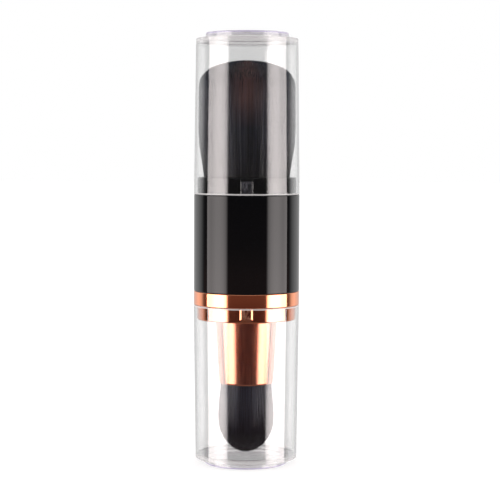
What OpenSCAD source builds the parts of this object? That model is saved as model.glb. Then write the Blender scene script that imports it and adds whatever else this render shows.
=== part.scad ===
// Double ended makeup brush. A powder brush and a smaller detail brush share one short
// handle, and each end has a clear cap that pushes on over a ribbed collar.
// Millimetres, +Z up. It stands on the lower cap, and the origin is the middle of its foot.

/* [Handle] */
// Outer diameter of the handle sleeve and of the rose gold band
body_d = 30; // [28:0.5:34]
// Length of the black handle sleeve
sleeve_len = 27.4; // [22:0.1:60]
// Wall of the handle sleeve
sleeve_wall = 1.4; // [1:0.1:2]
// Height of the rose gold band that shows between the sleeve and the lower cap
band_h = 3.9; // [2:0.1:10]
// Rounding of the sleeve's and the band's outer edges
edge_r = 0.25; // [0.1:0.05:0.5]

/* [Collars] */
// Height of the black collar above the sleeve
upper_collar_h = 4.9; // [4:0.1:8]
// Height of the rose gold collar below the band
lower_collar_h = 4.2; // [3.5:0.1:8]
// Wall of both collars and of their skirts inside the sleeve
collar_wall = 1.6; // [1.2:0.1:2]
// Rounding of the collars' free ends
collar_end_r = 0.5; // [0.2:0.1:0.8]
// Length of the rose gold collar's skirt inside the sleeve
lower_skirt_len = 6; // [4:0.5:8]
// Ribs around each collar, which grip the cap
rib_count = 3; // [2:1:6]
// Width of a rib at its root
rib_w = 3.6; // [2:0.1:5]
// How far a rib stands out of the collar
rib_h = 0.25; // [0.1:0.05:0.4]
// Width of each sloping flank of a rib
rib_flank = 0.4; // [0.2:0.05:0.6]
// Length of the slope that leads the cap on to a rib
rib_lead = 0.8; // [0.4:0.1:1.5]

/* [Clear caps] */
// Side wall of a cap
cap_wall = 0.6; // [0.5:0.05:1]
// Draft of a cap's sides, in degrees
cap_draft = 0.75; // [0.4:0.05:1]
// End wall of a cap
cap_end_wall = 1; // [0.8:0.1:1.6]
// Height of the round foot that stands out of a cap's end
foot_h = 1.6; // [0.8:0.1:2]
// Width of the shoulder around the foot
foot_shoulder = 2.7; // [2:0.1:4]
// Rounding of the cap's outer edges
cap_edge_r = 0.2; // [0.1:0.05:0.4]
// Diameter of the dimple that the moulding gate leaves in the foot
gate_d = 1.6; // [1:0.1:3]
// Depth of that dimple
gate_depth = 0.3; // [0.2:0.05:0.5]
// Clear space between the longer brush and its cap's end
tip_gap = 1.9; // [1.5:0.1:6]

/* [Powder brush] */
// Length of the hair above the black collar
powder_len = 33.1; // [24:0.1:36]
// Length of the rounded tip of the hair
powder_dome = 8.8; // [6:0.1:12]
// Length over which the hair spreads from the collar to its full width
powder_spread = 12.5; // [8:0.1:15]
// Clear space between the hair and the cap around it
powder_clear = 0.2; // [0.15:0.05:1]
// Wall of the aluminium cup that holds the hair
cup_wall = 0.4; // [0.3:0.05:0.6]
// How far the cup's lip lies below the collar's end
cup_inset = 1; // [0.5:0.1:2]
// Length of hair inside the cup
powder_root = 10.9; // [8:0.1:14]
// Height of the resin under the hair
powder_resin_h = 4; // [2:0.1:5]

/* [Detail brush] */
// Diameter of the ferrule where it leaves the collar
ferrule_d = 17.6; // [15:0.1:19]
// Diameter of the ferrule near its mouth
mouth_d = 15.7; // [14:0.1:16.4]
// Length of the ferrule below the collar
ferrule_len = 18.4; // [14:0.1:24]
// Length of the ferrule inside the collar's socket
ferrule_tail = 10; // [7:0.5:14]
// Wall of the ferrule
ferrule_wall = 0.35; // [0.25:0.05:0.5]
// How far the rolled lip turns in
lip_turn = 0.25; // [0.1:0.05:0.4]
// Length of the hair below the ferrule
detail_len = 20; // [15:0.1:24]
// Length of the rounded tip of the hair
detail_dome = 9.7; // [6:0.1:11]
// Widest diameter of the hair
detail_d = 16.2; // [14:0.1:18]
// Length of hair inside the ferrule
detail_root = 8; // [5:0.5:10]
// Height of the resin above the hair
detail_resin_h = 6; // [3:0.5:8]

/* [Hair] */
// Locks of hair around the powder brush
powder_locks = 48; // [30:1:60]
// Locks of hair around the detail brush
detail_locks = 34; // [20:1:44]
// Depth of the grooves between locks
lock_depth = 0.3; // [0.1:0.05:0.4]
// How unevenly the tips of the locks end
tip_uneven = 0.35; // [0:0.05:0.6]

/* [Hidden] */

// Clearances and seats
press_clear = 0.05;  // between pieces that are pressed or glued into each other
rib_clear = 0.05;    // between the ribs and the cap over them
lip_clear = 0.15;    // between the hair and the lip or wall that holds it
mouth_lead = 0.25;   // chamfer inside the rim of a cap
seat_w = 1.5;        // width of the ledge that the cup stands on
seat_h = 1.3;        // thickness of that ledge
cup_skirt = 4.2;     // length of the black collar's skirt below the cup
face_h = 1.5;        // thickness of the rose gold collar's closed end
socket_wall = 1.4;   // wall of the tube around the ferrule's tail
arc_steps = 6;       // straight steps in a rounded edge
round_fn = 96;       // any count above 12 is a true circle

// Radii
body_r = body_d / 2;
sleeve_in_r = body_r - sleeve_wall;
skirt_r = sleeve_in_r - press_clear;
cap_in_r = body_r - cap_wall;
// The cap narrows from its rim to its end, so a radius there depends on the distance from the rim
function cap_outer(h) = body_r - h * tan(cap_draft);
function cap_inner(h) = cap_in_r - h * tan(cap_draft);
rib_r = cap_inner(max(upper_collar_h, lower_collar_h)) - rib_clear;
collar_r = rib_r - rib_h;
collar_in_r = collar_r - collar_wall;
cup_r = collar_in_r - press_clear;
powder_root_r = cup_r - cup_wall - press_clear;
ferrule_r = ferrule_d / 2;
mouth_r = mouth_d / 2;
lip_r = ferrule_wall + lip_turn;

// Lengths: a cap is as long as the longer brush needs
cap_inside = max(lower_collar_h + ferrule_len + detail_len, upper_collar_h + powder_len) + tip_gap;
cap_len = cap_inside + cap_end_wall;
shoulder_at = cap_len - foot_h;
foot_r = cap_outer(shoulder_at) - foot_shoulder;

// Heights above the foot of the lower cap
band_z = cap_len;
sleeve_z = band_z + band_h;
rim_z = sleeve_z + sleeve_len;
collar_top_z = rim_z + upper_collar_h;
collar_low_z = band_z - lower_collar_h;
mouth_z = collar_low_z - ferrule_len;
cup_floor_z = collar_top_z - powder_root - powder_resin_h - cup_wall;

// The widest part of the powder brush just clears the cap where its tip begins to round over
powder_r = cap_inner(upper_collar_h + powder_len - powder_dome) - powder_clear;

// Points along an arc about c, from angle a0 to angle a1
function arc(c, r, a0, a1) =
    [for (i = [0:arc_steps]) let (a = a0 + (a1 - a0) * i / arc_steps) c + r * [cos(a), sin(a)]];

// A solid of revolution about Z from an outline of [radius, height] points
module turned(outline) rotate_extrude($fn = round_fn) polygon(outline);

// One clear cap, with its rim at height 0 and its foot upwards
module cap() {
    end_r = cap_outer(shoulder_at);
    in_r = cap_inner(shoulder_at - cap_end_wall);
    pocket_r = foot_r - cap_end_wall;
    gate_floor = cap_len - gate_depth;
    turned(concat(
        [[cap_in_r + mouth_lead, 0]],
        arc([body_r - cap_edge_r, cap_edge_r], cap_edge_r, -90, 0),
        arc([end_r - cap_edge_r, shoulder_at - cap_edge_r], cap_edge_r, 0, 90),
        [[foot_r, shoulder_at]],
        arc([foot_r - cap_edge_r, cap_len - cap_edge_r], cap_edge_r, 0, 90),
        [[gate_d / 2, cap_len], [gate_d / 2 - gate_depth, gate_floor], [0, gate_floor]],
        [[0, cap_inside], [pocket_r, cap_inside], [pocket_r, shoulder_at - cap_end_wall]],
        arc([in_r - cap_edge_r, shoulder_at - cap_end_wall - cap_edge_r], cap_edge_r, 90, 0),
        [[cap_in_r, mouth_lead]]
    ));
}

module upper_cap() color("gainsboro", 0.35) translate([0, 0, rim_z]) cap();

module lower_cap() color("gainsboro", 0.35) translate([0, 0, band_z]) rotate([180, 0, 0]) cap();

// The grip ribs of a collar that rises from height 0 to height h, one of them facing -Y
module ribs(h) {
    half = rib_w / 2;
    for (i = [0:rib_count - 1])
        rotate([0, 0, -90 + i * 360 / rib_count])
            intersection() {
                turned([
                    [collar_in_r, 0], [rib_r, 0], [rib_r, h - collar_end_r - rib_lead],
                    [collar_r - rib_h, h - collar_end_r], [collar_in_r, h - collar_end_r],
                ]);
                linear_extrude(h)
                    polygon([
                        [collar_r - rib_h, -half - rib_flank], [collar_r, -half],
                        [rib_r, -half + rib_flank], [body_r, -half + rib_flank],
                        [body_r, half - rib_flank], [rib_r, half - rib_flank],
                        [collar_r, half], [collar_r - rib_h, half + rib_flank],
                    ]);
            }
}

// Black moulding: ribbed collar above the sleeve, bore for the cup, and a glued skirt inside the sleeve
module upper_collar() color([0.07, 0.07, 0.07]) {
    ledge_z = cup_floor_z - seat_h;
    turned(concat(
        [[collar_in_r, cup_floor_z], [collar_in_r, collar_top_z]],
        arc([collar_r - collar_end_r, collar_top_z - collar_end_r], collar_end_r, 90, 0),
        [[collar_r, rim_z], [skirt_r, rim_z], [skirt_r, cup_floor_z - cup_skirt]],
        [[skirt_r - collar_wall, cup_floor_z - cup_skirt], [skirt_r - collar_wall, ledge_z]],
        [[collar_in_r - seat_w, ledge_z], [collar_in_r - seat_w, cup_floor_z]]
    ));
    translate([0, 0, rim_z]) ribs(upper_collar_h);
}

// Gloss black tube that the hand holds
module handle_sleeve() color([0.05, 0.05, 0.05])
    translate([0, 0, sleeve_z])
        turned(concat(
            [[sleeve_in_r, 0]],
            arc([body_r - edge_r, edge_r], edge_r, -90, 0),
            arc([body_r - edge_r, sleeve_len - edge_r], edge_r, 0, 90),
            [[sleeve_in_r, sleeve_len]]
        ));

// Plated moulding: the band, the ribbed collar below it, the ferrule's socket and a skirt in the sleeve
module lower_collar() color([0.72, 0.43, 0.33]) {
    skirt_top = sleeve_z + lower_skirt_len;
    socket_r = ferrule_r + press_clear;
    socket_top = collar_low_z + ferrule_tail;
    floor_z = collar_low_z + face_h;
    skirt_in_r = skirt_r - collar_wall;
    turned(concat(
        [[socket_r, collar_low_z]],
        arc([collar_r - collar_end_r, collar_low_z + collar_end_r], collar_end_r, -90, 0),
        [[collar_r, band_z]],
        arc([body_r - edge_r, band_z + edge_r], edge_r, -90, 0),
        arc([body_r - edge_r, sleeve_z - edge_r], edge_r, 0, 90),
        [[skirt_r, sleeve_z], [skirt_r, skirt_top], [skirt_in_r, skirt_top]],
        [[skirt_in_r, floor_z], [socket_r + socket_wall, floor_z]],
        [[socket_r + socket_wall, socket_top], [socket_r, socket_top]]
    ));
    translate([0, 0, band_z]) rotate([180, 0, 0]) rotate([0, 0, 180]) ribs(lower_collar_h);
}

// Drawn rose gold tube: straight in its socket, tapered below it, with the lip rolled in
module ferrule() color([0.74, 0.45, 0.35]) {
    top_z = collar_low_z + ferrule_tail;
    turned(concat(
        [[ferrule_r - ferrule_wall, top_z], [ferrule_r, top_z], [ferrule_r, collar_low_z]],
        arc([mouth_r - lip_r, mouth_z + lip_r], lip_r, 0, -90),
        arc([mouth_r - lip_r, mouth_z + lip_r], lip_turn, -90, 0),
        [[ferrule_r - ferrule_wall, collar_low_z]]
    ));
}

// Drawn aluminium cup that the powder hair is set in
module powder_cup() color("silver") {
    top_z = collar_top_z - cup_inset;
    turned([
        [0, cup_floor_z], [cup_r, cup_floor_z], [cup_r, top_z], [cup_r - cup_wall, top_z],
        [cup_r - cup_wall, cup_floor_z + cup_wall], [0, cup_floor_z + cup_wall],
    ]);
}

// Cured resin that holds the roots of the powder hair
module powder_resin() color([0.78, 0.66, 0.4])
    translate([0, 0, cup_floor_z + cup_wall])
        cylinder(r = powder_root_r, h = powder_resin_h, $fn = round_fn);

// Inside radius of the ferrule's taper at a height above its mouth
function taper_in(h) =
    mouth_r - ferrule_wall + (ferrule_r - mouth_r) * (h - lip_r) / (ferrule_len - lip_r);

// Cured resin that holds the roots of the detail hair
module detail_resin() color([0.78, 0.66, 0.4])
    translate([0, 0, mouth_z + detail_root])
        cylinder(
            r1 = taper_in(detail_root) - press_clear,
            r2 = taper_in(detail_root + detail_resin_h) - press_clear,
            h = detail_resin_h,
            $fn = round_fn
        );

// How full a lock stands at angle a: slow swells around the brush, between 0 and 1
function swell(a) = 0.5 + 0.3 * sin(5 * a) + 0.2 * sin(11 * a + 70);

// A brush head that points up. Each row is [height, radius, groove, uneven]: the last two say how much
// of the groove depth and of the uneven tips the row has. Every second point lies in a groove.
module brush_head(rows, locks, tip_z) {
    around = 2 * locks;
    last = len(rows) - 1;
    points = concat(
        [for (row = rows) for (i = [0:around - 1])
            let (
                a = 360 * i / around,
                groove = row[2] * lock_depth * (i % 2) * (0.5 + 0.5 * swell(a)),
                rise = row[3] * tip_uneven * (swell(3 * a) - 0.5 * (i % 2))
            )
            [(row[1] - groove) * cos(a), (row[1] - groove) * sin(a), row[0] + rise]],
        [[0, 0, tip_z]]
    );
    root_face = [[for (i = [0:around - 1]) i]];
    side_faces = [for (k = [0:last - 1]) for (i = [0:around - 1])
        let (j = (i + 1) % around, low = k * around, high = low + around)
        each [[low + i, high + i, high + j], [low + i, high + j, low + j]]];
    tip_faces = [for (i = [0:around - 1])
        [last * around + i, (last + 1) * around, last * around + (i + 1) % around]];
    polyhedron(points, concat(root_face, side_faces, tip_faces));
}

// Steps of a rounded tip as [share of its length, share of the full radius]. A higher power is a flatter end.
function dome_steps(power, steps) =
    [for (i = [1:steps]) let (u = sin(86 * i / steps)) [u, sqrt(1 - pow(u, power))]];

// Steps of hair that spreads from its mouth, as [share of the length, share of the widening]
function spread_steps(steps) = [for (i = [0:steps]) let (u = i / steps) [u, sin(90 * pow(u, 1.15))]];

// Dense powder hair: straight in its cup, spread to the cap's wall, and rounded over at the tip
module powder_bristles() color([0.13, 0.12, 0.13]) {
    dome_z = powder_len - powder_dome;
    widen = powder_r - powder_root_r;
    rows = concat(
        [[-powder_root, powder_root_r, 0, 0], [-cup_inset, powder_root_r, 0, 0]],
        [for (s = spread_steps(4)) [s[0] * powder_spread, powder_root_r + s[1] * widen, 0.3 + 0.7 * s[0], 0]],
        [[(powder_spread + dome_z) / 2, powder_r, 1, 0], [dome_z, powder_r, 1, 0]],
        [for (s = dome_steps(3, 7)) [dome_z + s[0] * powder_dome, s[1] * powder_r, s[1], s[0] * s[1]]]
    );
    translate([0, 0, collar_top_z]) brush_head(rows, powder_locks, powder_len);
}

// Detail hair: set in the ferrule, slightly wider below it, and rounded to a soft dome
module detail_bristles() color([0.16, 0.15, 0.16]) {
    dome_z = detail_len - detail_dome;
    root_r = mouth_r - lip_r - lip_clear;
    detail_r = detail_d / 2;
    widen = detail_r - root_r;
    rows = concat(
        [[-detail_root, taper_in(detail_root) - lip_clear, 0, 0]],
        [[-lip_r, root_r, 0, 0]],
        [for (s = spread_steps(3)) [s[0] * dome_z, root_r + s[1] * widen, 0.3 + 0.7 * s[0], 0]],
        [for (s = dome_steps(2, 7)) [dome_z + s[0] * detail_dome, s[1] * detail_r, s[1], s[0] * s[1]]]
    );
    translate([0, 0, mouth_z]) rotate([180, 0, 0]) brush_head(rows, detail_locks, detail_len);
}

upper_cap();
powder_bristles();
powder_resin();
powder_cup();
upper_collar();
handle_sleeve();
lower_collar();
ferrule();
detail_resin();
detail_bristles();
lower_cap();
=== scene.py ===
"""Double ended makeup brush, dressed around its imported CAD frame.

A powder brush and a smaller detail brush share a short handle, and each has a clear cap.
Every length in the code is in metres, and the brush stands on the foot of its lower cap.
"""

import math

import bpy
import numpy as np
from bpy.props import FloatProperty, FloatVectorProperty, IntProperty, PointerProperty
from mathutils import Matrix, Vector


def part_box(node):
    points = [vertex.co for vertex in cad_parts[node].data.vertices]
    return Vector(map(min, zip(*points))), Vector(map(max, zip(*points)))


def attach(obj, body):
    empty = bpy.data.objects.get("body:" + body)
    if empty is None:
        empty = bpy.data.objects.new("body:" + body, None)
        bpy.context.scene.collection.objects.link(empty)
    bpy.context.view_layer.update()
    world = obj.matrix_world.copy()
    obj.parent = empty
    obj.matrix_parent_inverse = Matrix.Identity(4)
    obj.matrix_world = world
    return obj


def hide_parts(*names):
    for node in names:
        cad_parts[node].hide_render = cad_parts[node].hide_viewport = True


bl_info = {
    "name": "Double Ended Makeup Brush",
    "version": (1, 0, 0),
    "blender": (4, 5, 0),
    "location": "3D View > Sidebar > Brush",
    "description": "Builds a double ended makeup brush with clear caps around its CAD frame",
    "category": "Add Mesh",
}

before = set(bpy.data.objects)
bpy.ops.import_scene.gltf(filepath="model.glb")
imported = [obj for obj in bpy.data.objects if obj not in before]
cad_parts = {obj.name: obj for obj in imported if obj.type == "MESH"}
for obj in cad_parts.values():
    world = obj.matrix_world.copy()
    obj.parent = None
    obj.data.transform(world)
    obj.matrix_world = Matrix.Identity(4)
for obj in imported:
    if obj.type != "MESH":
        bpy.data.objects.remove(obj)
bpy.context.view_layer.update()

MM = 0.001

# Heights and radii that the CAD frame gives. A CAD round has flats, so the smaller half width
# keeps the smooth one in the CAD model's box.
BODY_R = min(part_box("handle_sleeve")[1].xy)
SLEEVE_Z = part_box("handle_sleeve")[0].z
RIM_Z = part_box("handle_sleeve")[1].z
COLLAR_TOP_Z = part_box("upper_collar")[1].z
COLLAR_FOOT_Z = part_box("upper_collar")[0].z
COLLAR_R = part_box("upper_collar")[1].x
BAND_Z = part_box("lower_cap")[1].z
COLLAR_LOW_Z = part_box("lower_collar")[0].z
SKIRT_TOP_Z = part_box("lower_collar")[1].z
FERRULE_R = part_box("ferrule")[1].x
FERRULE_TOP_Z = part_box("ferrule")[1].z
MOUTH_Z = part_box("ferrule")[0].z
CUP_FLOOR_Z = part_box("powder_cup")[0].z
POWDER_ROOT_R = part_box("powder_resin")[1].x
POWDER_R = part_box("powder_bristles")[1].x
POWDER_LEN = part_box("powder_bristles")[1].z - COLLAR_TOP_Z
DETAIL_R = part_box("detail_bristles")[1].x
DETAIL_LEN = MOUTH_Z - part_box("detail_bristles")[0].z

# Roundings that pieces share, of a corner that another piece seats in, a crisp edge, a bore's
# mouth and a plain moulded edge, and the glue gap around a piece that sits in another.
SEAT, SHARP, MOUTH, SOFT = 0.03 * MM, 0.05 * MM, 0.08 * MM, 0.1 * MM
GLUE_GAP = 0.05 * MM

# Steps around the smooth rounds and the tubes, and how many of them a rib's flank adds.
ROUND_STEPS, TUBE_STEPS, FLANK_STEPS = 288, 240, 14

# What counts as nothing: a divisor, the way between two points, a length, and the turn of a
# corner that a straight side runs through.
NO_DIVISOR, SAME_POINT, NO_LENGTH, NO_TURN = 1e-9, 1e-8, 1e-7, 1e-6

# The two soft boxes face the brush's axis. Azimuths are in degrees from the camera's side,
# positive to the right, and the radiance is against white.
LAMP_AZIMUTHS = {"left_soft_box": -67.3, "right_soft_box": 70.3}
LAMP_DISTANCE, LAMP_WIDTH, LAMP_LOW_Z, LAMP_HIGH_Z = 0.65, 0.665, -0.17, 0.26
LAMP_RADIANCE, LAMP_COLOUR = 5.6, (1.0, 0.93, 0.92)

# Light across a soft box, from the edge nearest the camera (0) to the far edge (1).
LAMP_SWELL = (
    (0.0, 0.02), (0.05, 0.25), (0.1, 0.6), (0.22, 0.88),
    (0.36, 1.0), (0.52, 0.96), (0.76, 0.68), (1.0, 0.68),
)

# Light from the room's walls, from the camera's side (0) to behind the brush (1).
WALL_LIGHT = (
    (0.2, 0.0), (0.3, 0.18), (0.36, 0.5), (0.47, 0.95),
    (0.64, 1.1), (0.76, 0.95), (0.88, 0.8), (1.0, 0.7),
)

# Light from the camera's side of the room, from 0.2 below the level (0) up to the level (1).
FRONT_LIGHT = (
    (0.2, (0.045, 0.022, 0.024)), (0.5, (0.04, 0.014, 0.014)),
    (0.54, (0.21, 0.135, 0.115)), (0.6, (0.21, 0.135, 0.115)),
    (0.7, (0.08, 0.065, 0.06)), (0.85, (0.045, 0.042, 0.042)),
)
CEILING_GREY = (0.7, 0.7, 0.7, 1)

# Half the floor's width, and how much it glows at the brush, and from a reach away.
FLOOR_HALF = 4.0
FLOOR_GLOW_NEAR, FLOOR_GLOW_FAR, FLOOR_GLOW_REACH = 0.63, 0.8, 0.7

# The photograph's camera: where it stands, how far it looks down and leans, in degrees, and
# its lens and film width in millimetres.
CAMERA_SPOT = Vector((0.97, -455, 89.15)) * MM
CAMERA_DOWN, CAMERA_LEAN = 3.55, 0.21
CAMERA_LENS, CAMERA_FILM = 115.23, 36.0

# Places of a Mix node's inputs, and the output and the setting with which it mixes colours.
FACTOR, NUMBER_A, NUMBER_B, COLOUR_A, COLOUR_B = 0, 2, 3, 6, 7
COLOURS = {"give": 2, "data_type": "RGBA"}


def linear(code):
    """An sRGB hex colour as linear red, green, blue and alpha."""
    srgb = np.array([int(code[i : i + 2], 16) for i in (0, 2, 4)]) / 255
    rgb = np.where(srgb <= 0.04045, srgb / 12.92, ((srgb + 0.055) / 1.055) ** 2.4)
    return (*rgb.tolist(), 1.0)


def length(name, text, millimetres):
    """A length property in metres, whose default is given in millimetres."""
    limits = {"default": millimetres * MM, "min": 0, "max": 0.1, "precision": 5}
    return FloatProperty(name=name, description=text, unit="LENGTH", **limits)


def colour(name, text, code):
    """A colour property whose default is an sRGB hex code."""
    return FloatVectorProperty(
        name=name, description=text, default=linear(code), size=4, min=0, max=1, subtype="COLOR"
    )


class BrushSizes(bpy.types.PropertyGroup):
    """Sizes that a user may change without leaving the CAD frame."""

    cap_wall: length("Cap wall", "Side wall of a clear cap", 0.6)
    cap_end_wall: length("Cap end wall", "End wall of a clear cap", 1.0)
    cap_draft: FloatProperty(
        name="Cap draft",
        description="Slope of a cap's sides",
        default=math.radians(0.75),
        unit="ROTATION",
    )
    foot_height: length("Foot height", "Height of the foot on a cap's end", 1.6)
    foot_shoulder: length("Foot shoulder", "Width of the shoulder around the foot", 2.7)
    cap_edge: length("Cap edge", "Rounding of a cap's outer edges", 0.2)
    cap_rim: length("Cap rim", "Height of the frosted rim at a cap's mouth", 0.45)
    gate_width: length("Gate width", "Diameter of the moulding gate's dimple", 1.2)
    gate_depth: length("Gate depth", "Depth of the moulding gate's dimple", 0.2)
    gate_nub: length("Gate nub", "Diameter of the gate's broken stub", 0.7)
    sleeve_wall: length("Sleeve wall", "Wall of the black handle sleeve", 1.4)
    handle_edge: length("Handle edge", "Rounding of the sleeve and the band", 0.25)
    collar_wall: length("Collar wall", "Wall of both collars", 1.6)
    collar_end: length("Collar end", "Rounding of a collar's free end", 0.5)
    ledge_width: length("Ledge width", "Width of the ledge under the cup", 1.5)
    ledge_wall: length("Ledge wall", "Thickness of the ledge under the cup", 1.3)
    socket_wall: length("Socket wall", "Wall of the ferrule's socket", 1.4)
    socket_floor: length("Socket floor", "Wall that carries that socket", 1.5)
    rib_count: IntProperty(
        name="Ribs", description="Grip ribs around each collar", default=3, min=2, max=6
    )
    rib_width: length("Rib width", "Width of a grip rib at its root", 3.6)
    rib_height: length("Rib height", "How far a grip rib stands out", 0.25)
    rib_flank: length("Rib flank", "Width of a rib's sloping flank", 0.5)
    rib_lead: length("Rib lead", "Length of the slope that leads the cap on", 0.8)
    ferrule_wall: length("Ferrule wall", "Wall of the drawn ferrule", 0.35)
    mouth_radius: length("Ferrule mouth", "Radius of the ferrule at its mouth", 7.85)
    lip_turn: length("Lip turn", "How far the ferrule's rolled lip turns in", 0.25)
    powder_dome: length("Powder dome", "Length of the powder hair's rounded tip", 8.8)
    powder_spread: length("Powder spread", "Length over which the powder hair spreads", 12.5)
    detail_dome: length("Detail dome", "Length of the detail hair's rounded tip", 9.7)
    hair_width: length("Hair width", "Width of one drawn hair", 0.2)


class BrushColours(bpy.types.PropertyGroup):
    """Colours of the brush's finishes."""

    cap: colour("Cap tint", "Tint of the clear polystyrene", "EFEFEF")
    cap_edge: colour("Cap edge tint", "Violet toner, seen along the foot's edge", "D9D0F2")
    black: colour("Handle black", "Pigment of the black ABS", "08080A")
    plating: colour("Plating", "Rose gold plating of the band and its collar", "F7A17A")
    ferrule: colour("Ferrule", "Rose gold anodised aluminium", "F19F82")
    hair: colour("Hair", "Dye of the black filament", "13151C")
    # Painted glow: red brown painted into the powder hair's colour where light would come through
    # it.
    hair_painted_glow: colour("Warm hair", "Where light comes through the powder hair", "7A5753")
    resin: colour("Resin", "Cured epoxy that holds the roots", "C2A06A")


# ---------------- meshes


def add_object(name, data):
    """Puts a mesh, lamp or camera in the scene as an object."""
    added = bpy.data.objects.new(name, data)
    bpy.context.scene.collection.objects.link(added)
    return added


def new_piece(name, surface, materials, slot, body, *nodes):
    """A mesh object in the row's frame, from its points, normals and faces, that rides on a
    body and stands for CAD nodes. Without normals, its faces alone give its smooth shading."""
    points, normals, faces = surface
    mesh = bpy.data.meshes.new(name)
    mesh.from_pydata(points, [], faces)
    mesh.shade_smooth()
    piece = add_object(name, mesh)
    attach(piece, body)
    if nodes:
        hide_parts(*nodes)
    for material in materials:
        mesh.materials.append(material)
    if normals is not None:
        mesh.normals_split_custom_set_from_vertices(np.asarray(normals).tolist())
    return piece


def set_attribute(piece, name, values):
    """Stores one number for each vertex of a piece."""
    layer = piece.data.attributes.new(name, "FLOAT", "POINT")
    layer.data.foreach_set("value", np.asarray(values, np.float32).ravel())


def rounded(corners, steps=6):
    """An outline through (radius, height, fillet) corners, and its normals, both as (radius,
    height). Each corner gives way to the arc of its fillet radius that is tangent to both of its
    sides, in equal turns of the arc's normal. A corner that a straight side runs through has no
    fillet. The normals lie to the right of the way along the outline."""
    corners = np.array(corners, float)
    spot, fillet = corners[:, :2], corners[:, 2:]
    back = np.roll(spot, 1, 0) - spot
    ahead = np.roll(spot, -1, 0) - spot
    back /= np.linalg.norm(back, axis=1, keepdims=True)
    ahead /= np.linalg.norm(ahead, axis=1, keepdims=True)
    opening = np.arccos(np.clip((back * ahead).sum(1, keepdims=True), -1, 1))
    reach = fillet / np.tan(opening / 2)
    middle = back + ahead
    middle /= np.maximum(np.linalg.norm(middle, axis=1, keepdims=True), NO_DIVISOR)
    centre = spot + middle * fillet / np.sin(opening / 2)
    first, last = spot + back * reach - centre, spot + ahead * reach - centre
    turn = np.maximum(np.pi - opening, NO_TURN)[:, None]
    share = np.linspace(0, 1, steps + 1)[None, :, None]
    lead = np.sin((1 - share) * turn) / np.sin(turn)
    trail = np.sin(share * turn) / np.sin(turn)
    outline = (centre[:, None] + lead * first[:, None] + trail * last[:, None]).reshape(-1, 2)
    along = (lead * -back[:, None] + trail * ahead[:, None]).reshape(-1, 2)
    along /= np.linalg.norm(along, axis=1, keepdims=True)
    normals = np.stack([along[:, 1], -along[:, 0]], 1)
    keep = np.linalg.norm(outline - np.roll(outline, 1, 0), axis=1) > SAME_POINT
    return outline[keep], normals[keep]


def turned(outline, normals, angles, lift=None):
    """Points, normals and faces of a surface of revolution. The point at angle a of outline
    point (r, z) is (r cos a, r sin a, z), with r raised by lift(a, r, z). The normal follows
    the outline's own, tilted against the slope of the lift. An outline that starts and ends on
    the axis is closed by a pole at each end, and any other outline closes on itself. Where the
    volume inside comes out negative, faces and normals are turned over, so that both look out."""
    on_axis = outline[0, 0] < NO_LENGTH and outline[-1, 0] < NO_LENGTH
    inside = slice(1, -1) if on_axis else slice(None)
    ring, facing = outline[inside], normals[inside]
    a, r, z = angles[None, :], ring[:, 0:1], ring[:, 1:2]
    out, up = facing[:, 0:1] + 0 * a, facing[:, 1:2] + 0 * a
    across, raised = 0 * out, r + 0 * a
    if lift:
        near = 0.02 * MM
        raised = r + lift(a, r, z)
        across = -out * (lift(a + near / r, r, z) - lift(a - near / r, r, z)) / (2 * near)
        up = up - out * (lift(a, r, z + near) - lift(a, r, z - near)) / (2 * near)
    ca, sa = np.cos(a), np.sin(a)
    points = np.stack([raised * ca, raised * sa, z + 0 * a], -1).reshape(-1, 3)
    shade = np.stack([out * ca - across * sa, out * sa + across * ca, up], -1).reshape(-1, 3)
    rows, around = len(ring), len(angles)
    k = np.arange(rows - 1 if on_axis else rows)[:, None] * around
    i = np.arange(around)[None, :]
    j = (i + 1) % around
    upper = (k + around) % (rows * around)
    quads = np.stack([k + i, k + j, upper + j, upper + i], -1).reshape(-1, 4).tolist()
    if on_axis:
        points = np.vstack([points, [[0, 0, outline[0, 1]], [0, 0, outline[-1, 1]]]])
        shade = np.vstack([shade, [[0, 0, normals[1, 1]], [0, 0, normals[-2, 1]]]])
        last, low, high = (rows - 1) * around, rows * around, rows * around + 1
        fans = [
            np.stack([low + 0 * i[0], j[0], i[0]], -1),
            np.stack([last + i[0], last + j[0], high + 0 * i[0]], -1),
        ]
        quads += np.concatenate(fans).tolist()
    halves = [quad[:3] for quad in quads] + [[quad[0], quad[2], quad[-1]] for quad in quads]
    corner = points[np.array(halves)]
    volume = np.einsum("ij,ij->", corner[:, 0], np.cross(corner[:, 1], corner[:, 2]))
    shade /= np.maximum(np.linalg.norm(shade, axis=1, keepdims=True), NO_DIVISOR)
    if volume > 0:
        return points, shade, quads
    return points, -shade, [q[::-1] for q in quads]


def even_turn(count):
    """Angles in equal steps around the axis, starting at -Y."""
    return np.linspace(0, 2 * np.pi, count, endpoint=False) - np.pi / 2


def smooth_step(x):
    """Rises from 0 to 1 with level ends: 3x squared minus 2x cubed."""
    x = np.clip(x, 0, 1)
    return x * x * (3 - 2 * x)


# ---------------- materials


def add_node(tree, kind, inputs=None, give=0, **settings):
    """Adds a shader node with the given settings. inputs holds a value or a link for each
    socket, by name or place, or in the node's own order: MapRange's is the value, the range
    that it comes from and the range that it goes to. give picks the output, None for all."""
    node = tree.nodes.new("ShaderNode" + kind)
    for key, value in settings.items():
        setattr(node, key, value)
    given = inputs.items() if isinstance(inputs, dict) else enumerate(inputs or ())
    for key, value in given:
        if isinstance(value, bpy.types.NodeSocket):
            tree.links.new(value, node.inputs[key])
        else:
            node.inputs[key].default_value = value
    return node.outputs if give is None or not node.outputs else node.outputs[give]


def new_material(name):
    """An empty node material and its node tree."""
    material = bpy.data.materials.new(name)
    material.use_nodes = True
    material.node_tree.nodes.clear()
    return material, material.node_tree


def finish_material(material, shader):
    """Links a shader to the material's output and returns the material."""
    add_node(material.node_tree, "OutputMaterial", {"Surface": shader})
    return material


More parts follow.
